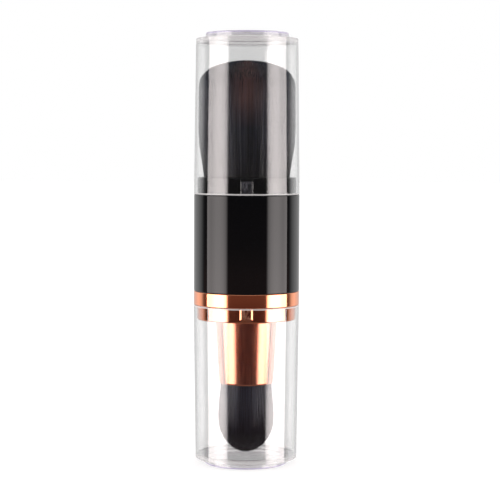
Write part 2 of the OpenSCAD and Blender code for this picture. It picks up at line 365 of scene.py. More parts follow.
def set_stops(ramp, stops):
    """Gives a colour ramp its stops, in order of place: a place and a colour or grey each."""
    stops = [(place, np.ones(3) * shade) for place, shade in stops]
    for element, (place, shade) in zip(ramp.elements, (stops[0], stops[-1])):
        element.position, element.color = place, (*shade, 1)
    for place, shade in stops[1:-1]:
        ramp.elements.new(place).color = (*shade, 1)


def surface_grain(tree, size, detail=3.0, roughness=0.5, stretch=(1, 1, 1)):
    """Unevenness from 0 to 1 in blobs about size metres wide, divided along each axis by
    stretch, so that a stretch of 0.05 along Z draws them out into long vertical lines."""
    place = add_node(tree, "TexCoord", give="Object")
    place = add_node(tree, "Mapping", {"Vector": place, "Scale": stretch})
    blobs = {"Vector": place, "Scale": 1 / size, "Detail": detail, "Roughness": roughness}
    return add_node(tree, "TexNoise", blobs)


def clear_polystyrene(finish, tint, frost):
    """Injection moulded crystal polystyrene: clear, glossy and hard. Its walls are real, so
    they bend light by themselves. frost is how far a face is scuffed or moulded matt, from 0
    to 1: it turns duller and whiter. Lamps shine through the walls."""
    material, tree = new_material(f"clear polystyrene, {finish}")
    flow = surface_grain(tree, 9 * MM, detail=1.0, stretch=(1, 1, 0.25))
    bump = add_node(tree, "Bump", {"Height": flow, "Strength": 0.25, "Distance": 0.05 * MM})
    glass = {"Base Color": tuple(tint), "Roughness": 0.4 * frost, "IOR": 1.59}
    glass |= {"Transmission Weight": 1.0 - 0.9 * frost, "Normal": bump}
    glass = add_node(tree, "BsdfPrincipled", glass)
    path = add_node(tree, "LightPath", give=None)
    rays = path["Is Shadow Ray"], path["Is Diffuse Ray"]
    lit = add_node(tree, "Math", rays, operation="MAXIMUM")
    clear = add_node(tree, "BsdfTransparent", {"Color": linear("F2F2F3")})
    return finish_material(material, add_node(tree, "MixShader", (lit, glass, clear)))


def scuffing(tree, size, stretch, high, least):
    """How scuffed a moulding is, from 0 to 1: where a cap rubs it (attribute "wear"), fine
    scratches cover it, down to the least share between them."""
    wear = add_node(tree, "Attribute", give="Fac", attribute_name="wear")
    marks = surface_grain(tree, size, detail=4.0, roughness=0.7, stretch=(1, 1, stretch))
    marks = add_node(tree, "MapRange", (marks, 0.4, high, least, 1.0))
    return add_node(tree, "Math", (wear, marks), operation="MULTIPLY")


def gloss_black_abs(colours):
    """Injection moulded ABS, piano black. A polished mould leaves it mirror smooth, with a
    trace of orange peel and the fine hairline marks that handling leaves. Where the cap slides
    over it, scratches make it greyer and duller."""
    material, tree = new_material("piano black ABS, moulded")
    peel = surface_grain(tree, 4 * MM, detail=1.0)
    bump = add_node(tree, "Bump", {"Height": peel, "Strength": 0.2, "Distance": 0.01 * MM})
    hairline = surface_grain(tree, 0.6 * MM, detail=2.0, stretch=(1, 1, 0.05))
    worn = scuffing(tree, 0.5 * MM, 0.3, 0.66, 0.15)
    polish = add_node(tree, "MapRange", (hairline, 0.4, 0.75, 0.03, 0.075))
    rough = {FACTOR: worn, NUMBER_A: polish, NUMBER_B: 0.4}
    tint = {FACTOR: worn, COLOUR_A: tuple(colours.black), COLOUR_B: linear("5A5A60")}
    plastic = {
        "Base Color": add_node(tree, "Mix", tint, **COLOURS),
        "Roughness": add_node(tree, "Mix", rough, data_type="FLOAT"),
        "IOR": 1.53,
        "Specular IOR Level": 0.3,
        "Normal": bump,
    }
    return finish_material(material, add_node(tree, "BsdfPrincipled", plastic))


def plated_abs(colours):
    """ABS moulding with mirror bright rose gold plating. Pushing the cap on has scuffed the
    tops of its ribs, where it is duller and paler."""
    material, tree = new_material("rose gold plated ABS")
    peel = surface_grain(tree, 5 * MM, detail=1.0)
    bump = add_node(tree, "Bump", {"Height": peel, "Strength": 0.2, "Distance": 0.012 * MM})
    scuff = scuffing(tree, 0.8 * MM, 0.4, 0.62, 0.1)
    tint = {FACTOR: scuff, COLOUR_A: tuple(colours.plating), COLOUR_B: linear("E3AA90")}
    metal = {
        "Base Color": add_node(tree, "Mix", tint, **COLOURS),
        "Metallic": 1.0,
        "Roughness": add_node(tree, "MapRange", (scuff, 0.0, 1.0, 0.09, 0.42)),
        "Normal": bump,
    }
    return finish_material(material, add_node(tree, "BsdfPrincipled", metal))


def anodised_aluminium(colours):
    """Drawn aluminium tube, bright dipped and anodised rose gold. Drawing leaves faint lines
    along it, which soften what it mirrors."""
    material, tree = new_material("rose gold anodised aluminium, drawn")
    lines = surface_grain(tree, 0.35 * MM, detail=2.0, stretch=(1, 1, 0.03))
    bump = add_node(tree, "Bump", {"Height": lines, "Strength": 0.2, "Distance": 0.01 * MM})
    rough = add_node(tree, "MapRange", (lines, 0.35, 0.65, 0.16, 0.22))
    metal = {"Base Color": tuple(colours.ferrule), "Metallic": 1.0}
    metal |= {"Roughness": rough, "Normal": bump}
    return finish_material(material, add_node(tree, "BsdfPrincipled", metal))


def black_filament(colours, name):
    """Dyed synthetic filament, near black, with a satin sheen over the whole head. Each hair
    has its own depth of dye, and grows darker or lighter along its length (attribute "tone").
    Red brown is painted into its colour where light would come through the hair (attribute
    "warm"): a painted glow, not light from the lamps."""
    material, tree = new_material(name)
    tone = add_node(tree, "Attribute", give="Fac", attribute_name="tone")
    warm = add_node(tree, "Attribute", give="Fac", attribute_name="warm")
    dye = {FACTOR: 1.0, COLOUR_A: tuple(colours.hair), COLOUR_B: tone}
    dye = add_node(tree, "Mix", dye, **COLOURS, blend_type="MULTIPLY")
    # Painted glow: mixes the red brown into the colour where light would come through the hair.
    glow = {FACTOR: warm, COLOUR_A: dye, COLOUR_B: tuple(colours.hair_painted_glow)}
    glow = add_node(tree, "Mix", glow, **COLOURS)
    hair = {"Base Color": glow, "Roughness": 0.3, "IOR": 1.55, "Specular IOR Level": 0.35}
    return finish_material(material, add_node(tree, "BsdfPrincipled", hair))


def drawn_aluminium():
    """Plain drawn aluminium, as on a deep drawn cup: bright, with fine draw lines."""
    material, tree = new_material("plain aluminium, deep drawn")
    lines = surface_grain(tree, 0.4 * MM, detail=2.0, stretch=(1, 1, 0.05))
    rough = add_node(tree, "MapRange", (lines, 0.35, 0.65, 0.22, 0.34))
    metal = {"Base Color": linear("E6E7E9"), "Metallic": 1.0, "Roughness": rough}
    return finish_material(material, add_node(tree, "BsdfPrincipled", metal))


def cured_epoxy(colours):
    """Cured epoxy: amber and glossy where it was poured, with cloudy patches."""
    material, tree = new_material("epoxy, poured and cured")
    cloud = surface_grain(tree, 2 * MM)
    tint = {FACTOR: cloud, COLOUR_A: tuple(colours.resin), COLOUR_B: linear("8E6B3A")}
    tint = add_node(tree, "Mix", tint, **COLOURS)
    epoxy = {"Base Color": tint, "Roughness": 0.25, "IOR": 1.55}
    return finish_material(material, add_node(tree, "BsdfPrincipled", epoxy))


# ---------------- hair

# How a hair is shaded: the spread of its chance lean, and how much of its own roundness shows.
HAIR_LEAN, HAIR_ROUNDNESS = 0.16, 0.4

# How a hair is built: its rings crowd towards its tip, the last one stands just short of it,
# and the hair thins by a share over the last part of its length.
RING_CROWDING, LAST_RING = 1.4, 0.985
TIP_THINNING, THIN_FROM = 0.72, 0.55

# How deep a hair's dye is, against 1: waves around the head, as many to a turn and as strong
# as given, a chance part, the limits that hold the sum, and the core's tone, darker than most
# hairs' as painted shade for the inside of the packed head.
LOCK_WAVES = np.array([7, 13, 23, 37, 61, 89, 131, 173])
LOCK_SHARES = np.array([0.12, 0.12, 0.16, 0.2, 0.26, 0.3, 0.32, 0.3])
CHANCE_TONE, TONE_LIMITS, CORE_SHADE_TONE = 0.4, (0.08, 3.2), 0.25

# Where the powder hair gets its painted glow, red brown painted into its colour where light
# would come through: from a share of its height, growing over a share more, in patches around
# the head of a given sharpness, one of them facing -Y.
PAINTED_GLOW_FROM, PAINTED_GLOW_OVER = 0.42, 0.3
PAINTED_GLOW_PATCHES, PAINTED_GLOW_SHARPNESS = 3, 5

# How far hair reaches back into the mouth that it grows from.
ROOT_DEPTH = 0.9 * MM


def hair_envelope(spread, dome, root_r, full_r, reach, power, gather):
    """The brush head's outline and the flow of its hair, as arrays over the height above the
    hair's mouth: (height, outline radius, flow radius). The radius grows from root to full over
    the spread as a sine, stays full, and falls over the dome as the square root of 1 minus the
    height's share raised to power. Hair flows along the same curve, but over the dome it only
    gathers in by the given share."""
    height = np.linspace(-1 * MM, reach, 400)
    widen = np.sin(np.pi / 2 * np.clip(height / spread, 0, 1) ** 1.15)
    flow = root_r + (full_r - root_r) * widen
    over = np.clip((height - (reach - dome)) / dome, 0, 1)
    return height, flow * np.sqrt(np.maximum(1 - over**power, 0)), flow * (1 - gather * over**2)


def hair_tips(envelope, share):
    """Height at which the hair at each share of the flow radius meets the outline."""
    height, outline, flow = envelope
    ratio = np.minimum.accumulate(outline / flow)
    rising = np.arange(len(ratio)) * NO_DIVISOR - ratio
    return np.interp(-share, rising, height)


def hair_strands(envelope, angle, share, start, tip, width, stations, wander, rng):
    """Points, normals, faces and reach of many hairs. Each hair is a slim three sided spindle
    along its own curve: at height h it stands at its share of the flow radius, at its own
    angle, and drifts sideways by its wander times the square of the share of its length. A
    normal is mostly the head's own outward one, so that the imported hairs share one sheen,
    with some of the spindle's roundness and a chance lean for each hair."""
    height, outline, flow = envelope
    count = len(angle)
    s = np.linspace(0, 1, stations)
    s = (1 - (1 - s) ** RING_CROWDING)[None, :]
    h = start[:, None] + (tip - start)[:, None] * s * LAST_RING
    r = share[:, None] * np.interp(h, height, flow)
    r = r - wander[:, 0:1] * s**2
    a = angle[:, None] + wander[:, 1:2] * s**2 / np.maximum(r, 1 * MM)
    thinned = TIP_THINNING * smooth_step((s - THIN_FROM) / (1 - THIN_FROM))
    thin = width[:, None] * (1 - thinned) / 2
    twist = rng.uniform(0, 2 * np.pi, count)[:, None, None]
    corner = twist + np.array([0, 2, 4])[None, None, :] * np.pi / 3
    ca, sa = np.cos(a)[:, :, None], np.sin(a)[:, :, None]

    def in_frame(outward, sideways, up):
        """Radial, tangential and vertical parts of every corner as X, Y and Z."""
        return np.stack([outward * ca - sideways * sa, outward * sa + sideways * ca, up], -1)

    side = thin[:, :, None] * np.sin(corner)
    outer = r[:, :, None] + thin[:, :, None] * np.cos(corner)
    ring = in_frame(outer, side, h[:, :, None] + 0 * side)
    fall = -np.interp(h, height, np.gradient(outline, height))[:, :, None]
    lean = rng.normal(0, HAIR_LEAN, count)[:, None, None]
    bulge, across = HAIR_ROUNDNESS * np.cos(corner), HAIR_ROUNDNESS * np.sin(corner)
    facing = in_frame(1 + bulge, lean + across, fall + 0 * corner)
    end = np.stack([r[:, -1] * np.cos(a[:, -1]), r[:, -1] * np.sin(a[:, -1]), tip], -1)
    points = np.concatenate([ring.reshape(count, -1, 3), end[:, None]], 1)
    normals = np.concatenate([facing.reshape(count, -1, 3), facing[:, -1].mean(1)[:, None]], 1)
    normals /= np.linalg.norm(normals, axis=2, keepdims=True)
    per = stations * 3 + 1
    k = (np.arange(stations - 1) * 3)[:, None]
    i, j = np.arange(3)[None, :], (np.arange(3)[None, :] + 1) % 3
    sides = np.stack([k + i, k + j, k + 3 + j, k + i, k + 3 + j, k + 3 + i], -1).reshape(-1, 3)
    last = (stations - 1) * 3
    point = np.stack([last + i[0], last + j[0], np.full(3, per - 1)], -1)
    one = np.concatenate([[[2, 1, 0]], sides, point])
    faces = (one[None] + (np.arange(count) * per)[:, None, None]).reshape(-1, 3)
    reach = np.concatenate([np.repeat(h, 3, 1), tip[:, None]], 1) / height[-1]
    return points.reshape(-1, 3), normals.reshape(-1, 3), faces, np.clip(reach, 0, 1)


def lock_tone(angle, rng):
    """Depth of dye of each hair: a chance part, and waves around the head that neighbours
    share, the finer ones stronger, so that locks a few hairs wide stand out."""
    starts = rng.uniform(0, 2 * np.pi, len(LOCK_WAVES))
    swell = (LOCK_SHARES * np.sin(angle[:, None] * LOCK_WAVES + starts)).sum(1)
    return np.clip(1.0 + swell + rng.normal(0, CHANCE_TONE, len(angle)), *TONE_LIMITS)


def grow_hair(
    name, node, envelope, layers, material, seed,
    base, turn, width, core_gap, ragged, levels, painted_glow_share,
):
    """One brush head: a packed core, which stands for the CAD node and is darker than the hairs
    as painted shade for the inside of the head, and around it layers of single hairs. The
    envelope counts height from the hair's mouth, which is at base, and the head points up for a
    turn of 1 and down for -1. A layer is a label, the count of hairs, the least and greatest
    share of the flow radius, the longest hair, the stations along a hair, thickness and
    looseness. The hair grows darker or lighter from the first of the levels at the mouth to the
    second at the tip.
    The last argument is how strongly the painted glow shows: red brown painted into the colour
    where light would come through the hair."""
    height, outline, _ = envelope
    flip, shift = np.array([1, 1, turn]), np.array([0, 0, base])

    def add_piece(label, points, normals, faces, tone, warm, *nodes):
        """A piece of the head, turned over and moved to its place."""
        surface = points * flip + shift, normals, [face[::turn] for face in faces]
        piece = new_piece(f"{name}_{label}", surface, [material], "black_hair", "brush", *nodes)
        set_attribute(piece, "tone", tone)
        set_attribute(piece, "warm", warm)

    keep = height >= 0
    inner = np.maximum(outline[keep] - core_gap, 0)
    up = height[keep] - core_gap * (height[keep] / height[-1]) ** 2
    packed = np.stack([inner, up], 1)
    packed = packed[packed[:, 0] > 0][::8]
    packed = np.vstack([[[0, packed[0, 1]]], packed, [[0, packed[-1, 1] + 0.02 * MM]]])
    along = np.gradient(packed, axis=0)
    outward = np.stack([along[:, 1], -along[:, 0]], 1)
    points, _, faces = turned(packed, outward, even_turn(96))
    # The core's darker tone is painted shade for the inside of the packed head.
    dark = np.full(len(points), CORE_SHADE_TONE)
    add_piece("core", points, None, faces, dark, 0 * dark, node)

    rng = np.random.default_rng(seed)
    for label, count, least, most, longest, stations, thick, loose in layers:
        angle = rng.uniform(0, 2 * np.pi, count)
        share = np.sqrt(rng.uniform(least**2, most**2, count))
        tip = hair_tips(envelope, share) - rng.gamma(1.5, ragged, count)
        start = np.maximum(tip - longest, -ROOT_DEPTH)
        wander = rng.normal(0, loose, (count, 2))
        wander[:, 0] = np.abs(wander[:, 0]) * 0.6
        widths = width * thick * rng.uniform(0.7, 1.15, count)
        points, normals, faces, reach = hair_strands(
            envelope, angle, share, start, tip, widths, stations, wander, rng
        )
        # Darker or lighter along each hair from mouth to tip; both heads come out lighter at
        # their upper end.
        level = levels[0] + (levels[1] - levels[0]) * reach
        tone = lock_tone(angle, rng)[:, None] * level
        # Painted glow: red brown painted into the upper powder head in patches, one facing -Y,
        # where light would come through.
        patches = 0.5 + 0.5 * np.cos(PAINTED_GLOW_PATCHES * (angle + np.pi / 2))
        warm = painted_glow_share * smooth_step((reach - PAINTED_GLOW_FROM) / PAINTED_GLOW_OVER)
        warm = warm * (patches**PAINTED_GLOW_SHARPNESS * rng.uniform(0.4, 1.0, count))[:, None]
        add_piece(label, points, normals * flip, faces.tolist(), tone, warm)


# ---------------- operators


class BuildStep:
    """What the operators share: each hands the settings to its own build."""

    bl_options = {"REGISTER", "UNDO"}

    def execute(self, context):
        self.build(context.scene.brush_sizes, context.scene.brush_colours)
        return {"FINISHED"}


class BRUSH_OT_clear_caps(BuildStep, bpy.types.Operator):
    """Makes both clear caps: drafted tubes with a stepped round foot and a gate dimple"""

    bl_idname = "brush.clear_caps"
    bl_label = "Clear Caps"

    def build(self, sizes, colours):
        slope = math.tan(sizes.cap_draft)
        reach = BAND_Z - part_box("lower_cap")[0].z
        shoulder = reach - sizes.foot_height
        outer = BODY_R - shoulder * slope
        inner = BODY_R - sizes.cap_wall
        foot = outer - sizes.foot_shoulder
        ceiling = reach - sizes.cap_end_wall
        under = shoulder - sizes.cap_end_wall
        edge, rim = sizes.cap_edge, sizes.cap_rim
        gate, nub, gate_end = sizes.gate_width / 2, sizes.gate_nub / 2, reach - sizes.gate_depth
        lead_in = 0.25 * MM
        wall_end = under - 0.5 * MM
        tint_down, tint_in, tint_half = 0.45 * MM, 0.4 * MM, 0.3 * MM
        gate_round, gate_lean = 0.06 * MM, 0.15 * MM
        nub_foot, nub_top, nub_end = 0.04 * MM, 0.08 * MM, reach - 0.04 * MM
        corners = [
            (0, ceiling, 0),
            (foot - sizes.cap_end_wall, ceiling, edge),
            (foot - sizes.cap_end_wall, under, edge),
            (inner - under * slope, under, edge),
            (inner - wall_end * slope, wall_end, 0),
            (inner, lead_in, SHARP),
            (inner + lead_in, 0, SHARP),
            (BODY_R, 0, edge),
            (BODY_R - rim * slope, rim, 0),
            (BODY_R - 1.4 * rim * slope, 1.4 * rim, 0),
            (BODY_R - wall_end * slope, wall_end, 0),
            (outer, shoulder, edge),
            (foot, shoulder, edge),
            (foot, reach - tint_down, 0),
            (foot, reach, edge),
            (foot - tint_in, reach, 0),
            (gate, reach, gate_round),
            (gate - gate_lean, gate_end, gate_round),
            (nub, gate_end, nub_foot),
            (nub * 0.8, nub_end, nub_top),
            (0, nub_end, 0),
        ]
        points, normals, faces = turned(*rounded(corners), even_turn(ROUND_STEPS))
        finishes = (
            clear_polystyrene("moulded", colours.cap, 0.0),
            clear_polystyrene("scuffed by standing", colours.cap, 0.3),
            clear_polystyrene("violet along its edge", colours.cap_edge, 0.35),
            clear_polystyrene("frosted", colours.cap, 0.55),
        )
        for name, node, body, turn, base in (
            ("upper_clear_cap", "upper_cap", "top_cap", 1, RIM_Z),
            ("lower_clear_cap", "lower_cap", "bottom_cap", -1, BAND_Z),
        ):
            over = np.array([1, turn, turn])
            surface = points * over + np.array([0, 0, base]), normals * over, faces
            piece = new_piece(name, surface, finishes, "clear_polystyrene", body, node)
            middle = np.empty(3 * len(faces))
            piece.data.polygons.foreach_get("center", middle)
            x, y, z = middle.reshape(-1, 3).T
            radius, height = np.hypot(x, y), turn * (z - base)
            at_rim = (height < 1.1 * rim) & (radius > inner + 0.8 * lead_in)
            on_nub = (radius < nub) & (height > gate_end)
            at_edge = (height > reach - tint_in) & (abs(radius - foot) < tint_half)
            on_end = (height > under - SOFT) & (radius > gate)
            finish = np.select([at_rim | on_nub, at_edge, on_end], [3, 2, 1], 0)
            piece.data.polygons.foreach_set("material_index", finish)


def rib_centres(sizes):
    """Angles of the ribs' middles, the first one at -Y."""
    return 2 * np.pi * np.arange(sizes.rib_count) / sizes.rib_count - np.pi / 2


def rib_turn(sizes):
    """Angles in even steps, with extra ones across every rib's flanks and a little past them."""
    half, past = sizes.rib_width / 2, 0.1 * MM
    flank = np.linspace(half - sizes.rib_flank - past, half + past, FLANK_STEPS)
    across = np.concatenate([-flank[::-1], flank])
    fine = (rib_centres(sizes)[:, None] + across / COLLAR_R).ravel()
    every = np.concatenate([even_turn(TUBE_STEPS), fine]) % (2 * np.pi)
    return np.unique(np.round(every, 6))


def rib_lift(sizes, end_z, root_z):
    """Height of the ribs over a collar at an angle, radius and height. A rib is level across
    its top, falls evenly over its flanks, and runs out over its lead towards the collar's end."""
    toward, near = 1 if end_z > root_z else -1, 0.02 * MM

    def lift(a, r, z):
        off = (a[..., None] - rib_centres(sizes) + np.pi) % (2 * np.pi) - np.pi
        off = np.abs(off).min(-1) * COLLAR_R
        flank = np.clip((sizes.rib_width / 2 - off) / sizes.rib_flank, 0, 1)
        lead = (end_z - toward * sizes.collar_end - z) * toward / sizes.rib_lead
        on_wall = (np.abs(r - COLLAR_R) < near) & ((z - root_z) * toward > -NO_LENGTH)
        return sizes.rib_height * flank * np.clip(lead, 0, 1) * on_wall

    return lift


def ribbed_collar(sizes, name, node, slot, material, bore, end_z, root_z, rest):
    """A moulding with a ribbed collar that a cap slides over. Its outline starts at the bore,
    crosses the collar's end, runs along its wall to the root, and goes on through the rest.
    Attribute "wear" is 1 on the ribs' tops, where the cap rubs, and 0 below their last tenth."""
    toward = 1 if end_z > root_z else -1
    end = end_z - toward * sizes.collar_end
    corners = [bore, (COLLAR_R, end_z, sizes.collar_end)]
    corners += [(COLLAR_R, end - toward * sizes.rib_lead * k, 0) for k in (0.5, 1.0, 1.1)]
    corners += [(COLLAR_R, root_z, SHARP), *rest]
    lift = rib_lift(sizes, end_z, root_z)
    surface = turned(*rounded(corners), rib_turn(sizes), lift)
    piece = new_piece(name, surface, [material], slot, "brush", node)
    x, y, z = surface[0].T
    rise = (np.hypot(x, y) - COLLAR_R) / sizes.rib_height
    on_collar = (z - root_z) * toward > -NO_LENGTH
    set_attribute(piece, "wear", smooth_step((rise - 0.9) / 0.1) * on_collar)


class BRUSH_OT_black_handle(BuildStep, bpy.types.Operator):
    """Makes the piano black sleeve and the black ribbed collar that the upper cap slides over"""

    bl_idname = "brush.black_handle"
    bl_label = "Black Handle"

    def build(self, sizes, colours):
        material = gloss_black_abs(colours)
        sleeve_in = BODY_R - sizes.sleeve_wall
        corners = [
            (sleeve_in, SLEEVE_Z, SHARP),
            (BODY_R, SLEEVE_Z, sizes.handle_edge),
            (BODY_R, RIM_Z, sizes.handle_edge),
            (sleeve_in, RIM_Z, SHARP),
        ]
        sleeve = turned(*rounded(corners), even_turn(ROUND_STEPS))
        black = "gloss_black_abs"
        new_piece("black_sleeve", sleeve, [material], black, "brush", "handle_sleeve")

        bore = COLLAR_R - sizes.collar_wall
        skirt = sleeve_in - GLUE_GAP
        ledge = CUP_FLOOR_Z - sizes.ledge_wall
        rest = [
            (skirt, RIM_Z, SEAT),
            (skirt, COLLAR_FOOT_Z, SOFT),
            (skirt - sizes.collar_wall, COLLAR_FOOT_Z, SOFT),
            (skirt - sizes.collar_wall, ledge, SOFT),
            (bore - sizes.ledge_width, ledge, SOFT),
            (bore - sizes.ledge_width, CUP_FLOOR_Z, SOFT),
            (bore, CUP_FLOOR_Z, SOFT),
        ]
        mouth = bore, COLLAR_TOP_Z, MOUTH
        names = "black_collar", "upper_collar", black, material
        ribbed_collar(sizes, *names, mouth, COLLAR_TOP_Z, RIM_Z, rest)


class BRUSH_OT_plated_collar(BuildStep, bpy.types.Operator):
    """Makes the rose gold moulding: the band, the ribbed collar, the socket and the skirt"""

    bl_idname = "brush.plated_collar"
    bl_label = "Rose Gold Collar"

    def build(self, sizes, colours):
        socket = FERRULE_R + GLUE_GAP
        skirt = BODY_R - sizes.sleeve_wall - GLUE_GAP
        floor = COLLAR_LOW_Z + sizes.socket_floor
        rest = [
            (BODY_R, BAND_Z, sizes.handle_edge),
            (BODY_R, SLEEVE_Z, sizes.handle_edge),
            (skirt, SLEEVE_Z, SEAT),
            (skirt, SKIRT_TOP_Z, SOFT),
            (skirt - sizes.collar_wall, SKIRT_TOP_Z, SOFT),
            (skirt - sizes.collar_wall, floor, SOFT),
            (socket + sizes.socket_wall, floor, SOFT),
            (socket + sizes.socket_wall, FERRULE_TOP_Z, SOFT),
            (socket, FERRULE_TOP_Z, SOFT),
        ]
        mouth = socket, COLLAR_LOW_Z, SOFT
        names = "plated_collar", "lower_collar", "rose_gold_plating", plated_abs(colours)
        ribbed_collar(sizes, *names, mouth, COLLAR_LOW_Z, BAND_Z, rest)


class BRUSH_OT_ferrule(BuildStep, bpy.types.Operator):
    """Makes the drawn rose gold ferrule with its rolled lip"""

    bl_idname = "brush.ferrule"
    bl_label = "Ferrule"

    def build(self, sizes, colours):
        wall = sizes.ferrule_wall
        lip = wall + sizes.lip_turn
        angle = np.linspace(0, -np.pi / 2, 11)
        arc = np.stack([np.cos(angle), np.sin(angle)], 1)
        centre = np.array([sizes.mouth_radius - lip, MOUTH_Z + lip])
        bore = FERRULE_R - wall
        roll, curl = centre + lip * arc, centre + sizes.lip_turn * arc[::-1]
        outline = [(bore, FERRULE_TOP_Z), (FERRULE_R, FERRULE_TOP_Z), (FERRULE_R, COLLAR_LOW_Z)]
        outline = np.array([*outline, *roll, *curl, (bore, COLLAR_LOW_Z)])
        out = np.array([COLLAR_LOW_Z - centre[1], sizes.mouth_radius - FERRULE_R])
        out /= np.hypot(*out)
        normals = -np.array([(1, 0), (1, 0), out, out, *arc[1:], *-arc[::-1], -out])
        surface = turned(outline, normals, even_turn(TUBE_STEPS))
        slot, metal = "rose_gold_aluminium", anodised_aluminium(colours)
        new_piece("drawn_ferrule", surface, [metal], slot, "brush", "ferrule")


class BRUSH_OT_powder_hair(BuildStep, bpy.types.Operator):
    """Grows the dense powder brush head, as single hairs around a packed core"""

    bl_idname = "brush.powder_hair"
    bl_label = "Powder Hair"

    def build(self, sizes, colours):
        full = POWDER_R - sizes.hair_width / 2
        envelope = hair_envelope(
            sizes.powder_spread, sizes.powder_dome, POWDER_ROOT_R, full, POWDER_LEN, 3, 0.05
        )
        sides = "sides", 3600, 0.965, 1.0, 40 * MM, 8, 1.0, 0.12 * MM
        tips = "tips", 7000, 0.0, 0.995, 8 * MM, 4, 1.1, 0.15 * MM
        material = black_filament(colours, "black filament, powder brush")
        grow_hair(
            "powder_hair", "powder_bristles", envelope, (sides, tips), material, seed=11,
            base=COLLAR_TOP_Z, turn=1, width=sizes.hair_width, core_gap=0.7 * MM,
            ragged=0.17 * MM, levels=(0.4, 4.5), painted_glow_share=1.0,
        )


class BRUSH_OT_detail_hair(BuildStep, bpy.types.Operator):
    """Grows the smaller detail brush head below the ferrule"""

    bl_idname = "brush.detail_hair"
    bl_label = "Detail Hair"

    def build(self, sizes, colours):
        width = sizes.hair_width * 0.85
        root = sizes.mouth_radius - sizes.ferrule_wall - sizes.lip_turn - 0.15 * MM
        spread = DETAIL_LEN - sizes.detail_dome
        envelope = hair_envelope(
            spread, sizes.detail_dome, root, DETAIL_R - width / 2, DETAIL_LEN, 2, 0.22
        )
        sides = "sides", 2600, 0.94, 1.0, 30 * MM, 7, 1.0, 0.16 * MM
        tips = "tips", 4200, 0.0, 0.99, 7 * MM, 4, 1.0, 0.3 * MM
        material = black_filament(colours, "black filament, detail brush")
        grow_hair(
            "detail_hair", "detail_bristles", envelope, (sides, tips), material, seed=23,
            base=MOUTH_Z, turn=-1, width=width, core_gap=0.6 * MM,
            ragged=0.3 * MM, levels=(3.6, 0.5), painted_glow_share=0.0,
        )


class BRUSH_OT_hidden_parts(BuildStep, bpy.types.Operator):
    """Gives the cup and both resin plugs, which stay as the CAD made them, their finishes"""

    bl_idname = "brush.hidden_parts"
    bl_label = "Cup and Resin"

    def build(self, sizes, colours):
        finishes = {
            "powder_cup": drawn_aluminium(),
            "powder_resin": cured_epoxy(colours),
            "detail_resin": cured_epoxy(colours),
        }
        for node, material in finishes.items():
            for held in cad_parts[node].material_slots:
                held.material = material


def plainly_seen(tree):
    """1 for a ray that comes straight from the camera or through clear walls, and 0 for one
    that gloss or matt surfaces have sent on, or that gathers a lamp's light."""
    path = add_node(tree, "LightPath", give=None)
    direct = path["Is Camera Ray"], path["Is Transmission Ray"]
    direct = add_node(tree, "Math", direct, operation="MAXIMUM")
    sent_on = path["Glossy Depth"], path["Diffuse Depth"]
    sent_on = add_node(tree, "Math", sent_on, operation="ADD")
    fresh = add_node(tree, "Math", (sent_on, 0.5), operation="LESS_THAN")
    return add_node(tree, "Math", (direct, fresh), operation="MULTIPLY")


def soft_box(name, azimuth):
    """A flat lamp that faces the brush from an azimuth. Its energy is pi times its area times
    its radiance. Across it the light swells as LAMP_SWELL says. Up it, the light is dim along
    the lower edge, brighter by a fifth above that, and even from the middle up."""
    height = LAMP_HIGH_Z - LAMP_LOW_Z
    data = bpy.data.lights.new(name, "AREA")
    data.shape = "RECTANGLE"
    data.size, data.size_y = LAMP_WIDTH, height
    data.energy = math.pi * LAMP_WIDTH * height * LAMP_RADIANCE
    data.color = LAMP_COLOUR
    data.use_nodes = True
    tree = data.node_tree
    tree.nodes.clear()
    spot = add_node(tree, "NewGeometry", give="Parametric")
    spot = add_node(tree, "SeparateXYZ", (spot,), give=None)
    swell = add_node(tree, "ValToRGB", (spot["X"],))
    stops = LAMP_SWELL
    if azimuth < 0:
        stops = [(1 - place, level) for place, level in reversed(LAMP_SWELL)]
    set_stops(swell.node.color_ramp, stops)
    foot = add_node(tree, "MapRange", (spot["Y"], 0.3, 0.5, 1.2, 1.0))
    low_edge = add_node(tree, "MapRange", (spot["Y"], 0.0, 0.06, 0.5, 1.0))
    for share in (foot, low_edge):
        swell = add_node(tree, "Math", (swell, share), operation="MULTIPLY")
    strength = {FACTOR: plainly_seen(tree), NUMBER_A: swell, NUMBER_B: 1 / LAMP_RADIANCE}
    strength = add_node(tree, "Mix", strength, data_type="FLOAT")
    add_node(tree, "OutputLight", {"Surface": add_node(tree, "Emission", {"Strength": strength})})
    lamp = add_object(name, data)
    turn = math.radians(azimuth)
    outward = Vector((math.sin(turn), -math.cos(turn), 0))
    lamp.location = outward * LAMP_DISTANCE + Vector((0, 0, (LAMP_LOW_Z + LAMP_HIGH_Z) / 2))
    lamp.rotation_euler = (-outward).to_track_quat("-Z", "Y").to_euler()


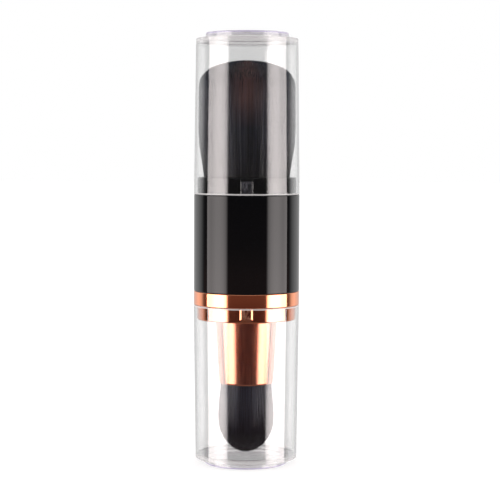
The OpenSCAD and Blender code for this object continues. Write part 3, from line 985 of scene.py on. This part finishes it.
def studio_world():
    """A white studio. What the camera sees is plain white. Light and gloss come from a room
    that is dark and a little warm on the camera's side, and has pale walls behind, a pale grey
    ceiling, and some of that grey far below."""
    world = bpy.data.worlds.new("studio")
    bpy.context.scene.world = world
    world.use_nodes = True
    tree = world.node_tree
    tree.nodes.clear()
    way = add_node(tree, "TexCoord", give="Generated")
    level = add_node(tree, "VectorMath", (way, (1, 1, 0)), operation="MULTIPLY")
    level = add_node(tree, "VectorMath", (level,), operation="NORMALIZE")
    behind = add_node(tree, "SeparateXYZ", (level,), give="Y")
    walls = add_node(tree, "ValToRGB", (behind,))
    set_stops(walls.node.color_ramp, WALL_LIGHT)
    height = add_node(tree, "SeparateXYZ", (way,), give="Z")
    rise = add_node(tree, "MapRange", (height, -0.2, 0.0, 0.0, 1.0))
    front = add_node(tree, "ValToRGB", (rise,))
    set_stops(front.node.color_ramp, FRONT_LIGHT)
    room = {FACTOR: 1.0, COLOUR_A: front, COLOUR_B: walls}
    room = add_node(tree, "Mix", room, **COLOURS, blend_type="LIGHTEN")
    above = add_node(tree, "MapRange", (height, 0.4, 0.7, 0.0, 1.0))
    below = add_node(tree, "MapRange", (height, -0.7, -0.4, 0.35, 0.0))
    grey = add_node(tree, "Math", (above, below), operation="MAXIMUM")
    room = {FACTOR: grey, COLOUR_A: room, COLOUR_B: CEILING_GREY}
    room = add_node(tree, "Mix", room, **COLOURS)
    shown = {FACTOR: plainly_seen(tree), COLOUR_A: room, COLOUR_B: (1, 1, 1, 1)}
    shown = add_node(tree, "Mix", shown, **COLOURS)
    add_node(tree, "OutputWorld", {"Surface": add_node(tree, "Background", {"Color": shown})})


def studio_floor():
    """A level sheet of matt white paper. It takes the brush's soft shadow. What gloss sends
    on passes it, as if the sheet were small, and meets the room."""
    points = np.array([[-1, -1, 0], [1, -1, 0], [1, 1, 0], [-1, 1, 0]]) * FLOOR_HALF
    mesh = bpy.data.meshes.new("studio_floor")
    mesh.from_pydata(points, [], [[0, 1, 2, 3]])
    floor = add_object("studio_floor", mesh)
    material, tree = new_material("matt white paper")
    paper = add_node(tree, "BsdfDiffuse", {"Color": linear("D0D0D0")})
    spot = add_node(tree, "TexCoord", give="Object")
    away = add_node(tree, "VectorMath", (spot,), "Value", operation="LENGTH")
    glow = away, 0.0, FLOOR_GLOW_REACH, FLOOR_GLOW_NEAR, FLOOR_GLOW_FAR
    glow = plainly_seen(tree), add_node(tree, "MapRange", glow)
    glow = {"Strength": add_node(tree, "Math", glow, operation="MULTIPLY")}
    both = add_node(tree, "AddShader", (paper, add_node(tree, "Emission", glow)))
    depth = add_node(tree, "LightPath", give="Glossy Depth")
    mirrored = add_node(tree, "Math", (depth, 0.5), operation="GREATER_THAN")
    open_air = add_node(tree, "BsdfTransparent")
    finish_material(material, add_node(tree, "MixShader", (mirrored, both, open_air)))
    mesh.materials.append(material)
    floor.visible_shadow = False


def studio_camera():
    """The photograph's view: a long lens a little above the brush's middle, looking down."""
    data = bpy.data.cameras.new("camera")
    data.lens, data.sensor_width = CAMERA_LENS, CAMERA_FILM
    camera = add_object("camera", data)
    tilt = Matrix.Rotation(math.radians(90 - CAMERA_DOWN), 4, "X")
    roll = Matrix.Rotation(math.radians(CAMERA_LEAN), 4, "Z")
    camera.matrix_world = Matrix.Translation(CAMERA_SPOT) @ tilt @ roll
    bpy.context.scene.camera = camera


class BRUSH_OT_stage(BuildStep, bpy.types.Operator):
    """Sets the studio: white floor and room, two soft boxes and the photograph's camera"""

    bl_idname = "brush.stage"
    bl_label = "Studio"

    def build(self, sizes, colours):
        for name, azimuth in LAMP_AZIMUTHS.items():
            soft_box(name, azimuth)
        studio_world()
        studio_floor()
        studio_camera()
        bpy.context.scene.view_settings.view_transform = "Standard"


class BRUSH_PT_panel(bpy.types.Panel):
    """Lists the brush's sizes, colours and pieces"""

    bl_idname = "BRUSH_PT_panel"
    bl_label = "Makeup Brush"
    bl_space_type = "VIEW_3D"
    bl_region_type = "UI"
    bl_category = "Brush"

    def draw(self, context):
        for group in (context.scene.brush_sizes, context.scene.brush_colours):
            box = self.layout.box()
            for key in group.bl_rna.properties.keys():
                if key not in ("rna_type", "name"):
                    box.prop(group, key)
        for operator in OPERATORS:
            self.layout.operator(operator.bl_idname)


OPERATORS = (
    BRUSH_OT_clear_caps,
    BRUSH_OT_black_handle,
    BRUSH_OT_plated_collar,
    BRUSH_OT_ferrule,
    BRUSH_OT_powder_hair,
    BRUSH_OT_detail_hair,
    BRUSH_OT_hidden_parts,
    BRUSH_OT_stage,
)
CLASSES = (BrushSizes, BrushColours, *OPERATORS, BRUSH_PT_panel)


def register():
    """Registers the classes and hangs the settings on the scene."""
    for made in CLASSES:
        bpy.utils.register_class(made)
    bpy.types.Scene.brush_sizes = PointerProperty(type=BrushSizes)
    bpy.types.Scene.brush_colours = PointerProperty(type=BrushColours)


def unregister():
    """Takes the settings and the classes away again."""
    del bpy.types.Scene.brush_colours
    del bpy.types.Scene.brush_sizes
    for made in reversed(CLASSES):
        bpy.utils.unregister_class(made)


def main():
    """Builds every piece in order."""
    register()
    for operator in OPERATORS:
        group, name = operator.bl_idname.split(".")
        getattr(getattr(bpy.ops, group), name)()


if __name__ == "__main__":
    main()
